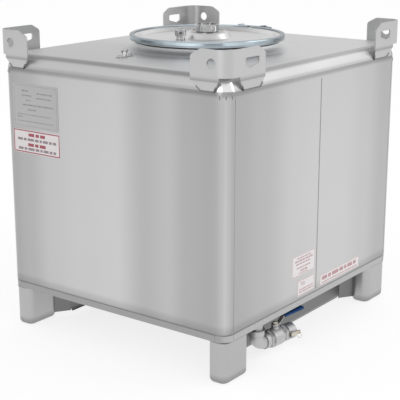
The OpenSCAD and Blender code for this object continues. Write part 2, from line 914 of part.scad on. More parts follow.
wall_left();
wall_right();
top_head();
manway_neck();
base_ring();
bottom_pan();
fork_bearers();
leg_front_left();
leg_front_right();
leg_rear_left();
leg_rear_right();
lug_front_left();
lug_front_right();
lug_rear_left();
lug_rear_right();
fork_guard_front();
fork_guard_rear();
ground_lug();
ground_stud();
wing_nut();
lid();
lid_gasket();
clamp_ring();
ring_lugs();
ring_bolt();
ring_nuts();
fill_bung();
fill_seal();
fill_liner();
fill_cap();
vent_nipple();
vent_body();
vent_pallet();
vent_spring();
outlet_pipe();
outlet_elbow();
valve_body();
valve_end();
valve_seats();
valve_ball();
valve_stem();
gland_nut();
valve_lever();
lever_sleeve();
lever_nut();
coupling_adapter();
dust_cap();
cap_gasket();
cam_pins();
cam_arm_front();
cam_arm_back();
pull_ring_front();
pull_ring_back();
data_plate();
side_label();
front_labels();
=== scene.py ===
import math

import bmesh
import bpy
from mathutils import Matrix, Vector


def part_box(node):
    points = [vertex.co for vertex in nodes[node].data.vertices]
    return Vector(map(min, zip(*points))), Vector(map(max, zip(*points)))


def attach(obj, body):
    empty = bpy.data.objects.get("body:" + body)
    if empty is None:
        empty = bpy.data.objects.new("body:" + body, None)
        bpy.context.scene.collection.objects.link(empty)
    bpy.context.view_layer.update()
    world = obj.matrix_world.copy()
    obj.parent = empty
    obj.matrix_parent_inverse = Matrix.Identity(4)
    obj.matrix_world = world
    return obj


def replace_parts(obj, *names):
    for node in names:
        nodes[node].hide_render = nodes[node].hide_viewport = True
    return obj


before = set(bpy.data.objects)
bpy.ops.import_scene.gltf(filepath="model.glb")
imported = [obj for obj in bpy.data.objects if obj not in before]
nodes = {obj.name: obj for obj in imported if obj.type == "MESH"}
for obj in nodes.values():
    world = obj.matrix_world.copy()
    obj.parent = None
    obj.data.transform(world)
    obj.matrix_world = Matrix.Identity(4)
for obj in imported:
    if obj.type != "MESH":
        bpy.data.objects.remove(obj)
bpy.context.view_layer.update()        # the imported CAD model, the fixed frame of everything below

# ---- Sizes, in metres, from the frame where it has them --------------------

wall_low, wall_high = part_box("wall_left")
HALF_W = -wall_low.x
HALF_D = wall_high.y
BAND_Z = wall_low.z
WALL_TOP = wall_high.z
DECK_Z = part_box("top_head")[1].z
BASE_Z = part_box("base_ring")[0].z
CORNER_R = 0.050
SHEET = 0.003
SHOULDER_IN = 0.0225     # lean of the shoulder between wall and deck
RING_IN = 0.001          # set-back of the base channel from the wall face
FLANGE = 0.028           # width of the base channel's flange
LEG_CORNER_R = 0.030
LEG_EDGE_R = 0.016
NECK_R = 0.286           # outer radius of the manway neck
NECK_WALL = 0.004
NECK_FOOT = 0.024        # height of the curve between neck and deck
NECK_FLARE = 0.055       # reach of that curve over the deck
LUG_CREASE_Z = DECK_Z - 0.017
LUG_OUT = 0.010          # how far the lugs' outer faces stand outside the wall
# The outlet's own frame: X runs along the pipe, from where the elbow's two axes cross
OUTLET = Matrix.Translation((-0.3355, -0.4795, 0.063)) @ Matrix.Rotation(math.radians(-8), 4, "Z")
VALVE_X = 0.107          # where the valve's stem stands along the outlet
RING_R = 0.310           # radius of the clamp ring
SHARP_ANGLE = math.radians(42)
CORNERS = [(sx, sy) for sx in (-1, 1) for sy in (-1, 1)]
TURN_Z_TO_X = Matrix.Rotation(math.radians(90), 4, "Y")


# ---- Mesh helpers -----------------------------------------------------------

def as_object(name, bm, material, body, smooth=True):
    """Turns a bmesh into a piece of the object that rides on a CAD body."""
    bmesh.ops.remove_doubles(bm, verts=bm.verts, dist=1e-6)
    bmesh.ops.recalc_face_normals(bm, faces=bm.faces)
    for edge in bm.edges:
        edge.smooth = edge.calc_face_angle(0.0) < SHARP_ANGLE
    mesh = bpy.data.meshes.new(name)
    bm.to_mesh(mesh)
    bm.free()
    for face in mesh.polygons:
        face.use_smooth = smooth
    piece = bpy.data.objects.new(name, mesh)
    bpy.context.scene.collection.objects.link(piece)
    mesh.materials.append(material)
    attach(piece, body)
    return piece


def even_normals(piece):
    """Keeps broad flats flat where a narrow rounded edge meets them."""
    weighted = piece.modifiers.new("even_normals", "WEIGHTED_NORMAL")
    weighted.keep_sharp = True
    return piece


def add_grid(bm, rows, wrap_rows=False, wrap_columns=False, caps=False):
    """Adds a net of faces through rows of points."""
    net = [[bm.verts.new(p) for p in row] for row in rows]
    row_count, column_count = len(net), len(net[0])
    for i in range(row_count if wrap_rows else row_count - 1):
        for j in range(column_count if wrap_columns else column_count - 1):
            k, m = (i + 1) % row_count, (j + 1) % column_count
            bm.faces.new((net[i][j], net[i][m], net[k][m], net[k][j]))
    if caps:
        bm.faces.new(net[0])
        bm.faces.new(net[-1][::-1])


def soften(points, radius, steps):
    """The outline with each corner turned into a short curve of about that radius."""
    points = [Vector(p) for p in points]
    count = len(points)
    out = []
    for i, corner in enumerate(points):
        before, after = points[i - 1] - corner, points[(i + 1) % count] - corner
        reach = radius[i] if isinstance(radius, (list, tuple)) else radius
        start = corner + before * min(reach / before.length, 0.45)
        end = corner + after * min(reach / after.length, 0.45)
        for k in range(steps + 1):
            t = k / steps
            out.append(start * (1 - t) ** 2 + corner * 2 * t * (1 - t) + end * t * t)
    return out


def curve_between(a, b, c, first=0.0, last=1.0, steps=6):
    """Part of the curve from a to c that leaves and arrives in the direction of b."""
    a, b, c = Vector(a), Vector(b), Vector(c)
    shares = [first + (last - first) * k / steps for k in range(steps + 1)]
    return [a * (1 - t) ** 2 + b * 2 * t * (1 - t) + c * t * t for t in shares]


def lathe(bm, profile, segments, place=Matrix.Identity(4), start=0.0, sweep=2 * math.pi):
    """Turns a closed profile of (radius, height) about place's own Z axis."""
    whole = abs(sweep - 2 * math.pi) < 1e-6
    columns = segments if whole else segments + 1
    rows = []
    for p in profile:
        row = []
        for j in range(columns):
            a = start + sweep * j / segments
            row.append(place @ Vector((p[0] * math.cos(a), p[0] * math.sin(a), p[1])))
        rows.append(row)
    add_grid(bm, rows, wrap_rows=True, wrap_columns=whole)
    if not whole:
        for j in (0, columns - 1):
            bm.faces.new([bm.verts.new(row[j]) for row in rows])


def tube(bm, path, radius, sides=8):
    """A round bar along an open path. radius is a number, or a function of the share of the way."""
    path = [Vector(p) for p in path]
    last = len(path) - 1
    rows = []
    side = None
    for i, p in enumerate(path):
        ahead = path[i + 1] if i < last else p
        behind = path[i - 1] if i > 0 else p
        along = (ahead - behind).normalized()
        if side is None:
            side = along.orthogonal().normalized()
        side = (side - along * side.dot(along)).normalized()
        up = along.cross(side)
        r = radius(i / max(last, 1)) if callable(radius) else radius
        rows.append([p + (side * math.cos(a) + up * math.sin(a)) * r
                     for a in (2 * math.pi * k / sides for k in range(sides))])
    add_grid(bm, rows, wrap_columns=True, caps=True)


def resample(path, step):
    """Points along the path about one step apart."""
    out = [Vector(path[0])]
    for a, b in zip(path, path[1:]):
        a, b = Vector(a), Vector(b)
        count = max(1, round((b - a).length / step))
        out += [a.lerp(b, k / count) for k in range(1, count + 1)]
    return out


def weld_bead(bm, path, radius, step=0.0025):
    """A weld bead with the ripple of its pools."""
    points = resample(path, step)
    ripple, turn_per_step = 0.16, 2.1
    turns = (len(points) - 1) * turn_per_step
    tube(bm, points, lambda t: radius * (1 + ripple * math.sin(t * turns)))


def box_between(bm, low, high, place=Matrix.Identity(4)):
    """An upright box between two corners."""
    size = Vector(high) - Vector(low)
    centre = (Vector(high) + Vector(low)) / 2
    made = bmesh.ops.create_cube(bm, size=1.0)
    bmesh.ops.transform(bm, matrix=place @ Matrix.Translation(centre) @ Matrix.Diagonal((*size, 1)),
                        verts=made["verts"])


# ---- Material helpers --------------------------------------------------------

FINE_SHARE = 0.55        # share of the fine grain in a metal's colour
BROAD_SHARE = 0.45       # share of its broad blotches
FOOT_SHADE_FADE = 0.050        # height over which the painted shade at a bottom edge fades out
LUG_SHADE_START = 0.020     # how far under its crease the painted shade in a lug's bend starts
LUG_SHADE_FADE = 0.040         # height that the lug's painted shade runs over
RING_HIGHLIGHT = (-0.80, -0.60)   # direction from the ring's middle to its painted highlight


def add(tree, kind, inputs=None, **settings):
    """Adds a shader node. An input is a value, or another node's output."""
    node = tree.nodes.new(kind)
    for key, value in settings.items():
        setattr(node, key, value)
    for key, value in (inputs or {}).items():
        if isinstance(value, bpy.types.NodeSocket):
            tree.links.new(value, node.inputs[key])
        else:
            node.inputs[key].default_value = value
    return node


def grey(value, tint=(1.0, 1.0, 1.0)):
    """A grey of that level, coloured by tint."""
    return (value * tint[0], value * tint[1], value * tint[2], 1.0)


def math_node(tree, operation, a, b):
    """The result of one sum on two values or outputs."""
    return add(tree, "ShaderNodeMath", {0: a, 1: b}, operation=operation).outputs[0]


def axes(tree, vector):
    """The X, Y and Z outputs of a vector."""
    return add(tree, "ShaderNodeSeparateXYZ", {"Vector": vector}).outputs


def surface_normal(tree):
    """The X, Y and Z outputs of the surface's normal."""
    return axes(tree, add(tree, "ShaderNodeNewGeometry").outputs["Normal"])


def share_along(tree, value, half):
    """How far a position lies between -half and +half, from 0 to 1."""
    return add(tree, "ShaderNodeMapRange",
               {"Value": value, "From Min": -half, "From Max": half}).outputs[0]


def multiplied(tree, a, b):
    """Two tones or colours multiplied."""
    return add(tree, "ShaderNodeMix", {"Factor": 1.0, "A": a, "B": b}, data_type="RGBA",
               blend_type="MULTIPLY").outputs["Result"]


def ramp(tree, value, stops):
    """A smooth grey ramp through (position, level) stops."""
    node = add(tree, "ShaderNodeValToRGB", {"Fac": value})
    node.color_ramp.interpolation = "EASE"
    elements = node.color_ramp.elements
    while len(elements) < len(stops):
        elements.new(0.5)
    for element, (position, level) in zip(elements, stops):
        element.position = position
        element.color = (level, level, level, 1)
    return node.outputs["Color"]


def start_material(name):
    """A material with an empty Principled surface."""
    material = bpy.data.materials.new(name)
    material.use_nodes = True
    tree = material.node_tree
    tree.nodes.clear()
    surface = add(tree, "ShaderNodeBsdfPrincipled")
    add(tree, "ShaderNodeOutputMaterial", {"Surface": surface.outputs[0]})
    return material, tree, surface


def metal(name, level, rough, grain, depth, tint=(1.0, 1.0, 1.0), spread=0.10, blotch=3.0, painted_tone=None):
    """A metal with grain: grain is the noise frequency along X, Y and Z, per metre."""
    material, tree, surface = start_material(name)
    place = add(tree, "ShaderNodeTexCoord").outputs["Object"]
    stretched = add(tree, "ShaderNodeMapping", {"Vector": place, "Scale": grain}).outputs[0]
    fine = add(tree, "ShaderNodeTexNoise",
               {"Vector": stretched, "Scale": 1.0, "Detail": 3.0, "Roughness": 0.6}).outputs[0]
    broad = add(tree, "ShaderNodeTexNoise",
                {"Vector": place, "Scale": blotch, "Detail": 2.0}).outputs[0]
    both = math_node(tree, "ADD", math_node(tree, "MULTIPLY", fine, FINE_SHARE),
                     math_node(tree, "MULTIPLY", broad, BROAD_SHARE))
    colour = add(tree, "ShaderNodeMix",
                 {"Factor": both, "A": grey(level * (1 - spread), tint),
                  "B": grey(min(level * (1 + spread), 1.0), tint)}, data_type="RGBA")
    colour_out = colour.outputs["Result"]
    # painted light and shade, multiplied into the colour
    if painted_tone:
        colour_out = multiplied(tree, colour_out, painted_tone(tree, place))
    tree.links.new(colour_out, surface.inputs["Base Color"])
    roughness = add(tree, "ShaderNodeMapRange",
                    {"Value": fine, "To Min": rough * 0.82, "To Max": rough * 1.2})
    tree.links.new(roughness.outputs[0], surface.inputs["Roughness"])
    bump = add(tree, "ShaderNodeBump", {"Height": fine, "Strength": 0.35, "Distance": depth})
    tree.links.new(bump.outputs[0], surface.inputs["Normal"])
    surface.inputs["Metallic"].default_value = 1.0
    return material


def plastic(name, colour, rough, bump_scale, bump_depth, spread=0.12, specular=0.5):
    """A moulded, dipped or printed surface with a slight unevenness."""
    material, tree, surface = start_material(name)
    place = add(tree, "ShaderNodeTexCoord").outputs["Object"]
    fine = add(tree, "ShaderNodeTexNoise",
               {"Vector": place, "Scale": bump_scale, "Detail": 3.0}).outputs[0]
    low = [c * (1 - spread) for c in colour]
    high = [min(c * (1 + spread), 1.0) for c in colour]
    mixed = add(tree, "ShaderNodeMix", {"Factor": fine, "A": (*low, 1), "B": (*high, 1)},
                data_type="RGBA")
    tree.links.new(mixed.outputs["Result"], surface.inputs["Base Color"])
    roughness = add(tree, "ShaderNodeMapRange",
                    {"Value": fine, "To Min": rough * 0.85, "To Max": rough * 1.15})
    tree.links.new(roughness.outputs[0], surface.inputs["Roughness"])
    bump = add(tree, "ShaderNodeBump",
               {"Height": fine, "Strength": 0.4, "Distance": bump_depth})
    tree.links.new(bump.outputs[0], surface.inputs["Normal"])
    surface.inputs["Specular IOR Level"].default_value = specular
    return material


def crease_painted_shade(tree, normal):
    """Painted shade along the rolled creases, where the sheet turns from one face to the next."""
    return ramp(tree, normal["Z"], [(0.0, 1.0), (0.03, 0.96), (0.12, 0.78), (0.24, 0.84), (0.33, 1.0),
                                    (0.50, 1.0), (0.68, 0.70), (0.88, 0.76), (0.98, 1.0)])


def wall_painted_light(tree, place):
    """Broad upright stripes of painted reflection, along X on the front and rear and along Y on the
    sides.

    The sheet is painted darker at its corners, along its crease and just above the base ring's seam, as
    painted shade.
    """
    parts = axes(tree, place)
    across = share_along(tree, parts["X"], HALF_W)
    along = share_along(tree, parts["Y"], HALF_D)
    # painted reflection stripes across the front and rear, and along the sides
    front = ramp(tree, across, [(0.0, 0.74), (0.06, 0.72), (0.19, 0.80), (0.36, 0.97), (0.50, 1.0),
                                (0.66, 1.0), (0.80, 0.92), (0.92, 0.78), (1.0, 0.78)])
    side = ramp(tree, along, [(0.0, 0.78), (0.07, 0.70), (0.16, 0.74), (0.24, 0.86), (0.34, 0.79),
                              (0.47, 1.0), (0.64, 0.98), (0.78, 0.92), (0.89, 0.77), (1.0, 0.65)])
    normal = surface_normal(tree)
    facing = math_node(tree, "MULTIPLY", normal["X"], normal["X"])
    painted_tone = add(tree, "ShaderNodeMix", {"Factor": facing, "A": front, "B": side},
                data_type="RGBA").outputs["Result"]
    # painted shade towards the corners
    corner = ramp(tree, facing, [(0.0, 0.80), (0.03, 0.80), (0.25, 0.92), (0.5, 1.0), (0.8, 0.88),
                                 (0.97, 0.80), (1.0, 0.80)])
    # painted shade just above the base ring's seam
    above = math_node(tree, "SUBTRACT", parts["Z"], BAND_Z)
    foot = ramp(tree, math_node(tree, "MULTIPLY", above, 1 / FOOT_SHADE_FADE),
                [(0.0, 0.66), (0.3, 0.82), (0.85, 1.0)])
    upright = multiplied(tree, multiplied(tree, painted_tone, corner), foot)
    return multiplied(tree, upright, crease_painted_shade(tree, normal))


def across_painted_light(tree, place):
    """Painted reflection on the deck, a little darker to the left."""
    parts = axes(tree, place)
    return ramp(tree, share_along(tree, parts["X"], HALF_W),
                [(0.0, 0.80), (0.30, 0.84), (0.55, 0.97), (1.0, 1.0)])


def deck_painted_light(tree, place):
    """The head's painted light: darker to the left, and painted shade along its creases."""
    return multiplied(tree, across_painted_light(tree, place), crease_painted_shade(tree, surface_normal(tree)))


def channel_painted_shade(tree, place):
    """Painted shade on the base channel, darker on the two short sides. It needs no place."""
    normal = surface_normal(tree)
    facing = math_node(tree, "MULTIPLY", normal["X"], normal["X"])
    return ramp(tree, facing, [(0.0, 1.0), (0.4, 0.98), (0.95, 0.76)])


def leg_painted_shade(tree, place):
    """Painted shade on the legs, darker round the bottom edge."""
    height = axes(tree, place)["Z"]
    return ramp(tree, math_node(tree, "MULTIPLY", height, 1 / FOOT_SHADE_FADE),
                [(0.0, 0.42), (0.20, 0.66), (0.75, 1.0)])


def lug_painted_shade(tree, place):
    """Painted shade on the lifting lugs' plate, darker at the bend between wing and foot."""
    height = axes(tree, place)["Z"]
    above = math_node(tree, "SUBTRACT", height, LUG_CREASE_Z - LUG_SHADE_START)
    return ramp(tree, math_node(tree, "MULTIPLY", above, 1 / LUG_SHADE_FADE), [
        (0.0, 0.96), (0.35, 0.94), (0.50, 0.62), (0.58, 0.74), (0.80, 0.96), (1.0, 1.0)])


def ring_painted_highlight(tree, place):
    """Painted highlight on the clamp ring's plating, brighter to its left front and right rear."""
    parts = axes(tree, place)
    across = math_node(tree, "MULTIPLY", parts["X"], RING_HIGHLIGHT[0] / RING_R)
    along = math_node(tree, "MULTIPLY", parts["Y"], RING_HIGHLIGHT[1] / RING_R)
    toward = math_node(tree, "ADD", across, along)
    return ramp(tree, math_node(tree, "MULTIPLY", toward, toward),
                [(0.0, 0.44), (0.55, 0.50), (0.80, 0.75), (0.97, 1.0)])


WARM = (1.0, 0.93, 0.78)
COOL = (0.80, 0.92, 1.0)

# The tone functions given to the steels below paint light and shade into their colour.
wall_steel = metal("wall_steel", 0.75, 0.33, (7, 7, 500), 0.00010, painted_tone=wall_painted_light, spread=0.05)
sheet_steel = metal("sheet_steel", 0.79, 0.37, (300, 9, 9), 0.00010, painted_tone=deck_painted_light, spread=0.05)
# The neck curve's steel is painted lighter than the deck's, a painted lift against the dark reflection
# of the gasket above it.
neck_steel_lightened = metal("neck_steel_lightened", 0.93, 0.55, (300, 9, 9), 0.00010, painted_tone=across_painted_light, spread=0.05)
pressed_steel = metal("pressed_steel", 0.48, 0.36, (40, 40, 400), 0.00012, painted_tone=leg_painted_shade,
                      spread=0.07)
channel_steel = metal("channel_steel", 0.48, 0.36, (40, 40, 400), 0.00012, painted_tone=channel_painted_shade,
                      spread=0.07)
lug_steel = metal("lug_steel", 0.57, 0.42, (60, 60, 200), 0.00012, painted_tone=lug_painted_shade, spread=0.07)
# Mill-finish steel for the parts under the tank, its colour darkened as painted shade.
mill_steel_shaded = metal("mill_steel_shaded", 0.22, 0.42, (12, 160, 160), 0.00015)
bright_steel = metal("bright_steel", 0.62, 0.20, (260, 260, 260), 0.00005, blotch=14)
lid_steel = metal("lid_steel", 0.80, 0.33, (160, 160, 160), 0.00005, blotch=8, spread=0.06)
ground_steel = metal("ground_steel", 0.90, 0.16, (500, 500, 500), 0.0001, blotch=30)
cast_steel = metal("cast_steel", 0.56, 0.52, (650, 650, 650), 0.0002, blotch=40)
weld_metal = metal("weld_metal", 0.26, 0.38, (900, 900, 900), 0.0002, blotch=60, spread=0.3)
seam_metal = metal("seam_metal", 0.30, 0.34, (700, 700, 700), 0.0001, blotch=20, spread=0.15)
warm_steel = metal("warm_steel", 0.62, 0.26, (500, 500, 500), 0.00008, tint=WARM, blotch=60)
zinc_plate = metal("zinc_plate", 0.90, 0.20, (120, 120, 500), 0.00004, tint=COOL, blotch=10,
                   painted_tone=ring_painted_highlight)
spring_wire = metal("spring_wire", 0.50, 0.30, (900, 900, 900), 0.00005)
etched = metal("etched", 0.49, 0.44, (400, 60, 60), 0.00006)
etched_mark = plastic("etched_mark", (0.27, 0.27, 0.275), 0.6, 300, 0.00002)
rubber = plastic("rubber", (0.018, 0.018, 0.019), 0.62, 260, 0.0003)
ptfe = plastic("ptfe", (0.78, 0.78, 0.75), 0.35, 120, 0.00005, spread=0.04)
blue_vinyl = plastic("blue_vinyl", (0.001, 0.045, 0.17), 0.52, 160, 0.0003, specular=0.22)
label_white = plastic("label_white", (0.70, 0.66, 0.665), 0.42, 30, 0.00003, spread=0.03)
label_clear = plastic("label_clear", (0.80, 0.77, 0.775), 0.42, 30, 0.00003, spread=0.03)
print_red = plastic("print_red", (0.34, 0.075, 0.10), 0.5, 300, 0.00001)
print_pink = plastic("print_pink", (0.50, 0.30, 0.31), 0.5, 300, 0.00001)
print_grey = plastic("print_grey", (0.27, 0.22, 0.235), 0.5, 300, 0.00001)


# ---- CAD nodes that stay, with their finish ---------------------------------

FINISH = {
    "bottom_pan": mill_steel_shaded, "fork_bearers": mill_steel_shaded,
    "fork_guard_front": mill_steel_shaded, "fork_guard_rear": mill_steel_shaded,
    "manway_neck": bright_steel, "fill_bung": bright_steel, "fill_liner": bright_steel,
    "fill_cap": bright_steel, "vent_nipple": bright_steel, "vent_body": bright_steel,
    "vent_pallet": bright_steel, "valve_ball": bright_steel, "valve_stem": bright_steel,
    "ground_lug": bright_steel, "ground_stud": bright_steel, "wing_nut": bright_steel,
    "lid": lid_steel,
    "outlet_pipe": cast_steel, "outlet_elbow": cast_steel, "valve_body": cast_steel,
    "valve_end": cast_steel, "coupling_adapter": cast_steel, "dust_cap": cast_steel,
    "gland_nut": cast_steel, "valve_lever": cast_steel,
    "lever_nut": warm_steel, "cam_pins": warm_steel, "cam_arm_front": warm_steel,
    "cam_arm_back": warm_steel, "pull_ring_front": warm_steel, "pull_ring_back": warm_steel,
    "clamp_ring": zinc_plate, "ring_lugs": zinc_plate, "ring_bolt": zinc_plate,
    "ring_nuts": zinc_plate, "vent_spring": spring_wire,
    "lid_gasket": rubber, "fill_seal": rubber, "cap_gasket": rubber, "valve_seats": ptfe,
    "data_plate": etched, "side_label": label_white, "front_labels": label_clear,
}
LUGS = ["lug_front_left", "lug_front_right", "lug_rear_left", "lug_rear_right"]
LEGS = ["leg_front_left", "leg_front_right", "leg_rear_left", "leg_rear_right"]
for lug in LUGS:
    FINISH[lug] = lug_steel

ROUNDED_EDGES = {          # width of the eased edge of each CAD node that shows sharp edges
    "fill_cap": 0.0008, "ground_lug": 0.0008, "wing_nut": 0.0006, "ring_lugs": 0.0010,
    "valve_body": 0.0010, "valve_end": 0.0010, "coupling_adapter": 0.0008, "dust_cap": 0.0010,
    "valve_lever": 0.0006, "lever_nut": 0.0006, "cam_arm_front": 0.0008, "cam_arm_back": 0.0008,
    "ring_nuts": 0.0005, "gland_nut": 0.0006, "fork_guard_front": 0.0010,
    "fork_guard_rear": 0.0010, "lid": 0.0015, "fill_bung": 0.0006, "vent_body": 0.0006,
    "ground_stud": 0.0004, "fill_liner": 0.0006, "ring_bolt": 0.0004,
    **{lug: 0.0012 for lug in LUGS},
}


def ease_edges(piece, width):
    """Joins the CAD faces, clears the flat ones of triangles and rounds the sharp edges."""
    weld = piece.modifiers.new("join", "WELD")
    weld.merge_threshold = 0.00002
    flats = piece.modifiers.new("flats", "DECIMATE")
    flats.decimate_type = "DISSOLVE"
    flats.angle_limit = math.radians(0.6)
    bevel = piece.modifiers.new("edges", "BEVEL")
    bevel.width = width
    bevel.segments = 2
    bevel.limit_method = "ANGLE"
    bevel.angle_limit = math.radians(32)
    even_normals(piece)


for name, material in FINISH.items():
    piece = nodes[name]
    piece.data.materials.clear()
    piece.data.materials.append(material)
    for face in piece.data.polygons:
        face.use_smooth = True
    if name in ROUNDED_EDGES:
        ease_edges(piece, ROUNDED_EDGES[name])


# ---- Tank shell ---------------------------------------------------------------

def half_plan(inset, corner_steps=14, side_steps=14):
    """The tank's plan moved in by inset: from the middle of the front round the left to the rear."""
    r = max(CORNER_R - inset, 0.008)
    cx, cy = HALF_W - inset - r, HALF_D - inset - r
    points = [Vector((-cx * k / side_steps, -cy - r)) for k in range(side_steps)]
    for k in range(corner_steps + 1):
        a = math.pi / 2 * k / corner_steps
        points.append(Vector((-cx - r * math.sin(a), -cy - r * math.cos(a))))
    points += [Vector((-cx - r, -cy + 2 * cy * k / side_steps)) for k in range(1, side_steps)]
    for k in range(corner_steps + 1):
        a = math.pi / 2 * k / corner_steps
        points.append(Vector((-cx - r * math.cos(a), cy + r * math.sin(a))))
    points += [Vector((-cx * (1 - k / side_steps), cy + r)) for k in range(1, side_steps + 1)]
    return points


def full_plan(inset):
    """The whole of the tank's plan moved in by inset, as a closed loop."""
    left = half_plan(inset)
    return left + [Vector((-p.x, p.y)) for p in left[-2:0:-1]]


SLOPE = SHOULDER_IN / (DECK_Z - WALL_TOP)
ROLL = 0.022             # reach of the rolled crease between wall and shoulder
BEND = 0.026             # reach of the rounder one between shoulder and deck
WALL_CREASE = ((0, WALL_TOP - ROLL), (0, WALL_TOP), (ROLL * SLOPE, WALL_TOP + ROLL))
DECK_CREASE = ((SHOULDER_IN - BEND * SLOPE, DECK_Z - BEND), (SHOULDER_IN, DECK_Z),
               (SHOULDER_IN + BEND, DECK_Z))


def build_wall(name, side):
    """One bent wall sheet, from the base ring up to the rolled crease under the head."""
    z0 = BAND_Z
    crease = curve_between(*WALL_CREASE, 0, 0.5)
    inside = [(p.x + SHEET, p.y) for p in (crease[-1], crease[0])]
    profile = [(0.0024, z0), (0.0008, z0 + 0.003), (0.0001, z0 + 0.009), (0, z0 + 0.014), *crease,
               *inside, (SHEET + 0.0024, z0)]
    rows = [[Vector((side * -p.x, p.y, z)) for p in half_plan(inset)] for inset, z in profile]
    bm = bmesh.new()
    add_grid(bm, rows, wrap_rows=True)
    for end in (0, -1):
        bm.faces.new([bm.verts.new(row[end]) for row in rows])
    piece = as_object(name, bm, wall_steel, "tank")
    return even_normals(piece)


def build_head():
    """Shoulder, deck and the round opening, as one pressed sheet."""
    crease = curve_between(*WALL_CREASE, 0.5, 1) + curve_between(*DECK_CREASE, steps=8)
    rim, bore = NECK_R + NECK_FLARE, NECK_R - NECK_WALL
    under_lap = 0.0026   # more than the sheet leans, which keeps its lower rim a sharp edge

    def rings(drop, grow):
        """The sheet's loops from wall to bore, lowered by drop and moved in by grow."""
        out = [[Vector((p.x, p.y, z - drop)) for p in full_plan(inset + grow)]
               for inset, z in ((c.x, c.y) for c in crease)]
        edge = out[-1]
        circle = [Vector((p.x, p.y, 0)).normalized() for p in edge]
        for k in range(1, 8):
            out.append([p.lerp(Vector((c.x * rim, c.y * rim, DECK_Z - drop)), k / 8)
                        for p, c in zip(edge, circle)])
        for r in (rim, bore):
            out.append([Vector((c.x * r, c.y * r, DECK_Z - drop)) for c in circle])
        return out

    bm = bmesh.new()
    add_grid(bm, rings(0, 0) + rings(SHEET, under_lap)[::-1], wrap_rows=True, wrap_columns=True)
    piece = as_object("head_sheet", bm, sheet_steel, "tank")
    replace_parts(piece, "top_head")
    return even_normals(piece)


def build_neck_flare():
    """The curve that carries the deck up into the manway neck."""
    foot, top = (NECK_R + NECK_FLARE, DECK_Z + 0.0001), (NECK_R + 0.0003, DECK_Z + NECK_FOOT - 0.0004)
    outside = curve_between(foot, (NECK_R + 0.004, DECK_Z + 0.0001), top, steps=16)
    profile = [(p.x, p.y) for p in outside] + [(top[0], DECK_Z - 0.001), (foot[0], DECK_Z - 0.001)]
    bm = bmesh.new()
    lathe(bm, profile, 160)
    return as_object("neck_flare", bm, neck_steel_lightened, "tank")


def build_base_ring():
    """The channel round the bottom: a rounded web with a flange turned in below."""
    z0, z1, web = BASE_Z, BAND_Z, 0.004
    outline = [(RING_IN, z1), (RING_IN, z0), (RING_IN + FLANGE, z0), (RING_IN + FLANGE, z0 + SHEET),
               (RING_IN + web, z0 + SHEET), (RING_IN + web, z1)]
    profile = soften(outline, [0.003, 0.007, 0.001, 0.001, 0.002, 0.0008], 5)
    rows = [[Vector((p.x, p.y, z)) for p in full_plan(inset)]
            for inset, z in ((c.x, c.y) for c in profile)]
    bm = bmesh.new()
    add_grid(bm, rows, wrap_rows=True, wrap_columns=True)
    piece = as_object("base_channel", bm, channel_steel, "tank")
    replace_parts(piece, "base_ring")
    return even_normals(piece)


def rounded_loop(cx, cy, half_x, half_y, r, z, steps=10):
    """A rounded rectangle at height z, as a closed loop."""
    points = []
    for quarter, (sx, sy) in enumerate(((1, 1), (-1, 1), (-1, -1), (1, -1))):
        for k in range(steps + 1):
            a = math.pi / 2 * (quarter + k / steps)
            points.append(Vector((cx + sx * (half_x - r) + r * math.cos(a),
                                  cy + sy * (half_y - r) + r * math.sin(a), z)))
    return points


def build_leg(node):
    """A pressed leg: straight walls, soft corners and a soft bottom edge."""
    low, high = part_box(node)
    half_x, half_y = (high.x - low.x) / 2, (high.y - low.y) / 2
    cx, cy = (high.x + low.x) / 2, (high.y + low.y) / 2
    levels = []
    for k in range(9):
        a = math.pi / 2 * k / 8
        levels.append((LEG_EDGE_R * (1 - math.sin(a)), LEG_EDGE_R * (1 - math.cos(a))))
    levels += [(0, LEG_EDGE_R + (BASE_Z - LEG_EDGE_R) * k / 6) for k in range(1, 7)]
    rows = [rounded_loop(cx, cy, half_x - inset, half_y - inset, LEG_CORNER_R - inset, z)
            for inset, z in levels]
    bm = bmesh.new()
    add_grid(bm, rows, wrap_columns=True, caps=True)
    piece = as_object(node + "_pressing", bm, pressed_steel, "tank")
    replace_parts(piece, node)
    even_normals(piece)
    bm = bmesh.new()
    around = rounded_loop(cx, cy, half_x, half_y, LEG_CORNER_R, BASE_Z - 0.001)
    weld_bead(bm, around + around[:1], 0.0024)
    as_object(node + "_weld", bm, weld_metal, "tank")


for wall, side in (("wall_left", 1), ("wall_right", -1)):
    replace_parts(build_wall(wall + "_sheet", side), wall)
build_head()
build_neck_flare()
build_base_ring()
for leg in LEGS:
    build_leg(leg)


def build_wall_seams():
    """The planished butt welds between the wall sheets, the bend marks and the base ring's joints."""
    for name, side in (("front_seam", -1), ("rear_seam", 1)):
        bm = bmesh.new()
        y = side * (HALF_D - 0.0008)
        weld_bead(bm, [(0, y, BAND_Z + 0.012), (0, y, WALL_TOP - ROLL)], 0.0022, 0.004)
        as_object(name, bm, seam_metal, "tank")
    marks = bmesh.new()
    joints = bmesh.new()
    reach = CORNER_R - 0.002
    for sx, sy in CORNERS:
        x, y = sx * (HALF_W - reach), sy * (HALF_D - 0.0007)
        tube(marks, [(x, y, BAND_Z + 0.012), (x, y, WALL_TOP - ROLL)], 0.0012)
        corner_x, corner_y = sx * (HALF_W - RING_IN - 0.0004), sy * (HALF_D - RING_IN - 0.0004)
        for x, y in ((corner_x, corner_y - sy * reach), (corner_x - sx * reach, corner_y)):
            weld_bead(joints, [(x, y, BASE_Z + 0.006), (x, y, BAND_Z - 0.002)], 0.0011)
    as_object("corner_bend_marks", marks, seam_metal, "tank")
    as_object("base_ring_joints", joints, seam_metal, "tank")
    bm = bmesh.new()
    loop = [Vector((p.x, p.y, BAND_Z - 0.0002)) for p in full_plan(0.0022)]
    weld_bead(bm, loop + loop[:1], 0.0020, 0.004)
    as_object("base_ring_seam", bm, seam_metal, "tank")


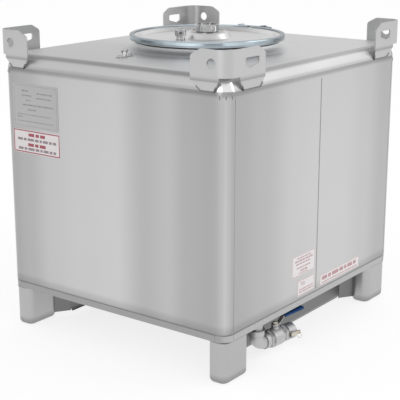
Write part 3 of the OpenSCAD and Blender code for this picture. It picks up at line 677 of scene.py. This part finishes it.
def build_corner_caps():
    """The ground and polished sheet corner under each lug's scallop, with three tacks below it."""
    caps = bmesh.new()
    tacks = bmesh.new()
    half_turn, tack_turn = 0.62, 0.45
    z0, z1 = WALL_TOP + 0.002, LUG_CREASE_Z - 0.004
    outer = [(CORNER_R - (z - WALL_TOP) * SLOPE + 0.0008, z) for z in (z0, z1)]
    profile = soften([(outer[0][0] - 0.001, z0), *outer, (outer[1][0] - 0.001, z1)], 0.0006, 2)
    for sx, sy in CORNERS:
        middle = math.atan2(sy, sx)
        place = Matrix.Translation((sx * (HALF_W - CORNER_R), sy * (HALF_D - CORNER_R), 0))
        lathe(caps, [(p.x, p.y) for p in profile], 16, place, middle - half_turn, 2 * half_turn)
        for turn in (-tack_turn, 0.0, tack_turn):
            out = Vector((math.cos(middle + turn), math.sin(middle + turn), 0)) * (CORNER_R - 0.0010)
            tube(tacks, [place @ (out + Vector((0, 0, z))) for z in
                         (WALL_TOP - 0.026, WALL_TOP - 0.023, WALL_TOP - 0.015, WALL_TOP - 0.012)],
                 lambda t: 0.0026 if 0.1 < t < 0.9 else 0.0010)
    as_object("corner_caps", caps, ground_steel, "tank")
    as_object("corner_tacks", tacks, weld_metal, "tank")


def build_lug_welds():
    """Fillet welds round the foot of each lug wing: up one edge, along the wall and up the other."""
    bm = bmesh.new()
    low, part = WALL_TOP - 0.001, 0.45
    # Each foot from the tank's corner, along the long and the short wing: its upper edge runs
    # from the first number to the last, and its lower edge between the middle two
    wings = ((0.061, 0.097, 0.197, 0.212), (0.032, 0.057, 0.112, 0.148))
    for sx, sy in CORNERS:
        for along_x, (u0, u1, u2, u3) in zip((True, False), wings):
            rise = (LUG_CREASE_Z - low) * part
            lift = LUG_OUT * part
            path = [(u1 + (u0 - u1) * part, lift, low + rise), (u1, 0.0006, low),
                    (u2, 0.0006, low), (u2 + (u3 - u2) * part, lift, low + rise)]
            points = []
            for u, out, z in path:
                x = HALF_W - u if along_x else HALF_W + out
                y = HALF_D + out if along_x else HALF_D - u
                points.append((sx * x, sy * y, z))
            weld_bead(bm, points, 0.0024)
    as_object("lug_welds", bm, weld_metal, "tank")


build_wall_seams()
build_corner_caps()
build_lug_welds()


# ---- Outlet, lever sleeve and pull rings ----------------------------------------

def circle_path(place, r, steps=48):
    """A closed circle about place's X axis."""
    turns = (2 * math.pi * k / steps for k in range(steps + 1))
    return [place @ Vector((0, r * math.cos(a), r * math.sin(a))) for a in turns]


def build_outlet_welds():
    """Weld beads where the pipe meets the pan, and at both ends of the elbow."""
    bm = bmesh.new()
    for z, r in ((0.037, 0.0272), (0.060, 0.0312), (0.101, 0.0245)):
        weld_bead(bm, circle_path(OUTLET @ Matrix.Translation((0, 0, z)) @ TURN_Z_TO_X, r), 0.0016)
    for x, r in ((0.037, 0.0272), (0.0602, 0.0308)):
        weld_bead(bm, circle_path(OUTLET @ Matrix.Translation((x, 0, 0)), r), 0.0014)
    as_object("outlet_welds", bm, weld_metal, "tank")


def build_sleeve():
    """The dipped vinyl grip: a soft-edged sleeve with a raised end bead and a swell for the thumb."""
    length, width, height, start, level = 0.113, 0.0280, 0.0120, 0.046, 0.07375
    climb = math.atan2(0.004, length - 0.003)
    place = (OUTLET @ Matrix.Translation((VALVE_X + start, 0, level))
             @ Matrix.Rotation(-climb, 4, "Y"))
    side_square, top_square, sides = 0.45, 0.55, 32
    stations = [(0.0, 0.55), (0.0006, 0.80), (0.002, 0.97), (0.004, 1.0), (0.006, 0.97),
                (0.012, 0.94), (0.040, 0.95), (0.070, 0.98), (0.095, 1.0), (0.107, 1.0),
                (0.1105, 0.93), (0.1125, 0.74), (0.113, 0.45)]
    rows = []
    for x, share in stations:
        row = []
        for k in range(sides):
            a = 2 * math.pi * k / sides
            c, d = math.cos(a), math.sin(a)
            y = width / 2 * share * math.copysign(abs(c) ** side_square, c)
            z = height / 2 * share * math.copysign(abs(d) ** top_square, d)
            row.append(place @ Vector((x, y, z)))
        rows.append(row)
    bm = bmesh.new()
    add_grid(bm, rows, wrap_columns=True, caps=True)
    sleeve = as_object("sleeve_grip", bm, blue_vinyl, "valve_handle")
    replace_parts(sleeve, "lever_sleeve")


def build_split_ring(node, body, side):
    """A split pull ring of nearly two turns of wire, in place of the plain ring."""
    centre = OUTLET @ Matrix.Translation((0.209, side * 0.036, -0.0125))
    steps, turns, start = 96, 1.92, 0.8
    mean, gap, wire_r = 0.0116, 0.0014, 0.00072
    path = []
    for k in range(steps + 1):
        a = 2 * math.pi * turns * k / steps + start
        path.append(centre @ Vector((gap * (k / steps - 0.5), mean * math.sin(a), mean * math.cos(a))))
    bm = bmesh.new()
    tube(bm, path, wire_r, 10)
    ring = as_object(node + "_wire", bm, warm_steel, body)
    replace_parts(ring, node)


def build_deck_welds():
    """The beads round the fill and vent fittings on the lid and round the grounding lug."""
    bm = bmesh.new()
    boss_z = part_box("fill_bung")[0].z
    dish_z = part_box("vent_nipple")[0].z
    for place, r in (((0, 0, boss_z + 0.0006), 0.0424), ((-0.125, 0.037, dish_z + 0.0006), 0.0171)):
        weld_bead(bm, circle_path(Matrix.Translation(place) @ TURN_Z_TO_X, r), 0.0013)
    as_object("fitting_welds", bm, weld_metal, "manway_cover")
    bm = bmesh.new()
    low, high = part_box("ground_lug")
    middle = (low + high) / 2
    around = rounded_loop(middle.x, middle.y, (high.x - low.x) / 2, (high.y - low.y) / 2, 0.006,
                          DECK_Z + 0.0004)
    weld_bead(bm, around + around[:1], 0.0012)
    as_object("ground_lug_weld", bm, weld_metal, "tank")


build_outlet_welds()
build_deck_welds()
build_sleeve()
build_split_ring("pull_ring_front", "front_ring", -1)
build_split_ring("pull_ring_back", "back_ring", 1)


# ---- Plates and labels: generic marks, no lettering ------------------------------

LEFT_FACE = Matrix(((0, 0, -1, -HALF_W), (-1, 0, 0, 0), (0, 1, 0, 0), (0, 0, 0, 1)))
FRONT_FACE = Matrix(((1, 0, 0, 0), (0, 0, -1, -HALF_D), (0, 1, 0, 0), (0, 0, 0, 1)))
INK = 0.00012            # how far a print stands proud of its label


def border(bm, place, width, height, line, inset=0.0):
    """A plain frame just inside the edge of a label."""
    x, y = width / 2 - inset, height / 2 - inset
    for low, high in (((-x, y - line), (x, y)), ((-x, -y), (x, -y + line)),
                      ((-x, -y + line), (-x + line, y - line)), ((x - line, -y + line), (x, y - line))):
        box_between(bm, (*low, -INK), (*high, INK), place)


def bars(bm, place, level, height, start, end, pattern=(2.6, 1.5, 3.4, 2.0, 1.2)):
    """A row of plain bars, spaced like words, from start to end."""
    x, k = start, 0
    while x < end - height * 0.4:
        stop = min(x + pattern[k % len(pattern)] * height, end)
        box_between(bm, (x, level - height / 2, -INK), (stop, level + height / 2, INK), place)
        x, k = stop + height * 0.55, k + 1


def print_on(name, material, place, frame_size, line, rows, inset=0.0):
    """The print of one label: a frame, and rows of bars given as level, height, start and end."""
    bm = bmesh.new()
    if frame_size:
        border(bm, place, *frame_size, line, inset)
    for row in rows:
        bars(bm, place, *row)
    return as_object(name, bm, material, "tank", smooth=False)


def build_labels():
    """The print on the side label and on the three front labels."""
    side = LEFT_FACE @ Matrix.Translation((-0.3635, 0.774, 0.0004))
    print_on("side_label_border", print_red, side, (0.244, 0.088), 0.0042,
             [(0.027, 0.012, -0.042, 0.046), (-0.012, 0.012, -0.046, 0.048)])
    print_on("side_label_lines", print_grey, side, None, 0,
             [(0.008, 0.010, -0.100, 0.104), (-0.029, 0.010, -0.098, 0.102)])
    first = FRONT_FACE @ Matrix.Translation((-0.096, 0.3295, 0.0004))
    second = FRONT_FACE @ Matrix.Translation((-0.075, 0.236, 0.0004))
    third = FRONT_FACE @ Matrix.Translation((0.1865, 0.2235, 0.0004))
    print_on("upper_label_print", print_pink, first, (0.163, 0.083), 0.0020,
             [(0.029, 0.0045, -0.048, 0.052), (0.018, 0.0060, -0.062, 0.064),
              (0.006, 0.0050, -0.054, 0.046), (-0.010, 0.0045, -0.050, 0.048),
              (-0.023, 0.0060, -0.024, 0.026), (-0.033, 0.0040, -0.034, 0.030)])
    print_on("lower_label_print", print_pink, second, (0.121, 0.060), 0.0020,
             [(0.018, 0.0040, -0.040, -0.012), (0.010, 0.0040, -0.034, -0.008),
              (-0.008, 0.0045, -0.048, 0.050), (-0.018, 0.0050, -0.050, 0.052)])
    print_on("long_label_print", print_pink, third, (0.310, 0.043), 0.0018,
             [(0.005, 0.0150, -0.140, 0.142), (-0.013, 0.0045, -0.140, 0.140)])


def build_data_plate():
    """The etched plate's fields and lines, and a rivet in each corner."""
    place = LEFT_FACE @ Matrix.Translation((-0.3625, 0.914, 0.0008))
    print_on("data_plate_fields", etched_mark, place, (0.228, 0.162), 0.0010,
             [(0.058, 0.0060, -0.070, -0.034), (0.052, 0.0050, 0.010, 0.092),
              (0.040, 0.0045, -0.070, -0.020), (0.034, 0.0045, 0.006, 0.086),
              (0.022, 0.0040, -0.050, -0.026), (0.004, 0.0060, -0.066, 0.098),
              (-0.014, 0.0050, -0.040, 0.004), (-0.034, 0.0030, -0.100, 0.080),
              (-0.044, 0.0045, -0.098, -0.070), (-0.060, 0.0030, -0.098, 0.090)], 0.002)
    bm = bmesh.new()
    for x in (-0.112, 0.112):
        for y in (-0.079, 0.079):
            lathe(bm, [(0.0, 0.0011), (0.0012, 0.0010), (0.0019, 0.0006), (0.0022, 0.0),
                       (0.0, -0.0002)], 16, place @ Matrix.Translation((x, y, 0)))
    as_object("data_plate_rivets", bm, bright_steel, "tank")


build_labels()
build_data_plate()


# ---- Camera, light and floor -----------------------------------------------------

def build_camera():
    """A long lens from the left front, a little above the tank."""
    azimuth, elevation = math.radians(-53.2), math.radians(15.25)
    aim = Vector((-0.017, 0.0226, 0.4735))
    distance = 4.568
    back = Vector((math.sin(azimuth) * math.cos(elevation),
                   -math.cos(azimuth) * math.cos(elevation), math.sin(elevation)))
    data = bpy.data.cameras.new("camera")
    data.sensor_width = 36
    data.lens = 99
    data.clip_end = 200
    camera = bpy.data.objects.new("camera", data)
    camera.location = aim + back * distance
    camera.rotation_mode = "QUATERNION"
    camera.rotation_quaternion = (-back).to_track_quat("-Z", "Y")
    bpy.context.scene.collection.objects.link(camera)
    bpy.context.scene.camera = camera


FLOOR_GLOW = 0.79        # how much of the floor's white is its own light


def build_floor():
    """A pale studio floor, lit from below as well, so that the shadow on it stays light."""
    material, tree, surface = start_material("floor")
    surface.inputs["Base Color"].default_value = grey(0.30)
    surface.inputs["Roughness"].default_value = 0.9
    surface.inputs["Specular IOR Level"].default_value = 0.0
    surface.inputs["Emission Color"].default_value = grey(1.0)
    surface.inputs["Emission Strength"].default_value = FLOOR_GLOW
    mesh = bpy.data.meshes.new("floor")
    half = 40
    mesh.from_pydata([(-half, -half, 0), (half, -half, 0), (half, half, 0), (-half, half, 0)], [],
                     [(0, 1, 2, 3)])
    mesh.materials.append(material)
    floor = bpy.data.objects.new("floor", mesh)
    bpy.context.scene.collection.objects.link(floor)


def area_light(name, place, aim, size, power):
    """A soft box at place that looks at aim."""
    data = bpy.data.lights.new(name, "AREA")
    data.shape = "RECTANGLE"
    data.size, data.size_y = size
    data.energy = power
    lamp = bpy.data.objects.new(name, data)
    lamp.location = place
    lamp.rotation_mode = "QUATERNION"
    lamp.rotation_quaternion = (Vector(aim) - Vector(place)).to_track_quat("-Z", "Y")
    bpy.context.scene.collection.objects.link(lamp)


def build_light():
    """A white studio: bright side walls, a duller horizon and ceiling, and two soft boxes."""
    world = bpy.data.worlds.new("studio")
    bpy.context.scene.world = world
    world.use_nodes = True
    tree = world.node_tree
    tree.nodes.clear()
    ray = add(tree, "ShaderNodeLightPath").outputs["Is Camera Ray"]
    direction = add(tree, "ShaderNodeTexCoord").outputs["Generated"]
    height = ramp(tree, axes(tree, direction)["Z"],
                  [(0.0, 0.52), (0.10, 0.60), (0.28, 0.88), (0.55, 0.86), (0.85, 0.50), (1.0, 0.42)])
    lit = add(tree, "ShaderNodeBackground", {"Color": height, "Strength": 1.0})
    seen = add(tree, "ShaderNodeBackground", {"Color": (1, 1, 1, 1), "Strength": 1.0})
    both = add(tree, "ShaderNodeMixShader", {0: ray, 1: lit.outputs[0], 2: seen.outputs[0]})
    add(tree, "ShaderNodeOutputWorld", {"Surface": both.outputs[0]})
    area_light("key", (2.6, -4.2, 3.0), (0, 0, 0.6), (3.0, 3.0), 34)
    area_light("left_fill", (-5.0, -0.5, 2.4), (0, 0, 0.6), (3.0, 2.4), 25)


build_camera()
build_floor()
build_light()
bpy.context.scene.view_settings.view_transform = "Standard"
